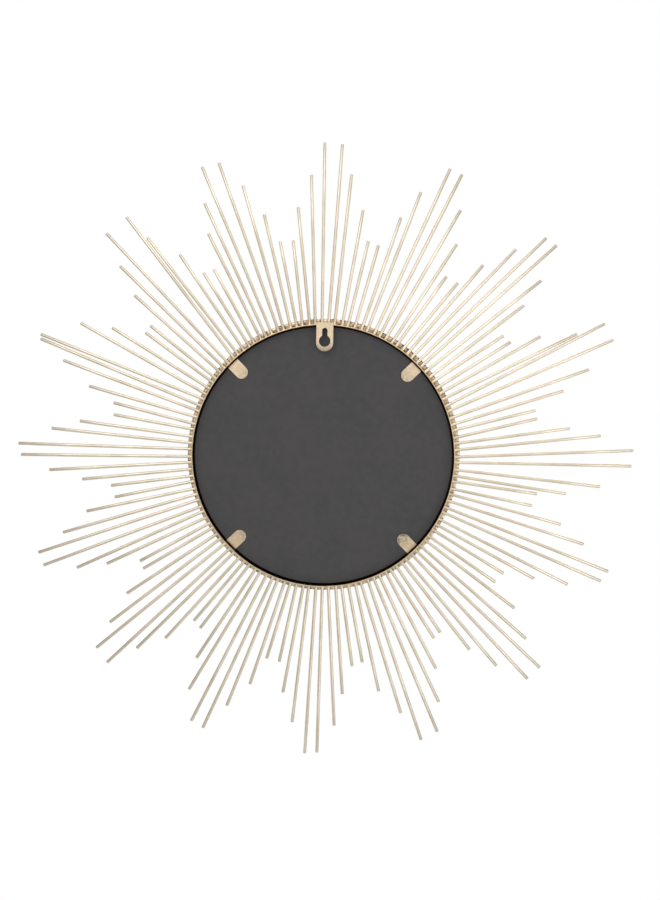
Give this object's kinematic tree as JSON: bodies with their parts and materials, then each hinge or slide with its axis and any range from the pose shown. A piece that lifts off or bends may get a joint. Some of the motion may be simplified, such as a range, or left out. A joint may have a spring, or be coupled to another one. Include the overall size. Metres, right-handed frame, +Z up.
{
  "type": "wall mirror",
  "caption": "Round wall mirror in a metal sunburst: welded rods of stepped length radiate from a hoop that holds glass and backing board, hung by a keyhole plate.",
  "frame": {"origin": "on the back face of the keyhole plate, midway between the slot's top end and the plate's top edge", "axes": "+Y out of the back, towards the wall; the glass faces -Y; +Z up; +X to the right as seen from the front"},
  "size_m": [0.7148, 0.0175, 0.7133],
  "materials": {
    "champagne_metal": "satin champagne-gold metallic lacquer on steel wire and strip",
    "plate_metal": "satin champagne-gold lacquer over brushed steel strip",
    "mirror_glass": "plain silvered float glass",
    "dark_board": "matt charcoal-painted hardboard"
  },
  "bodies": {
    "root": {"sunburst_frame": "champagne_metal", "mirror_glass": "mirror_glass", "backing_board": "dark_board", "keyhole_hanger": "plate_metal", "clip_top_right": "plate_metal", "clip_bottom_right": "plate_metal", "clip_bottom_left": "plate_metal", "clip_top_left": "plate_metal"}
  },
  "joints": []
}
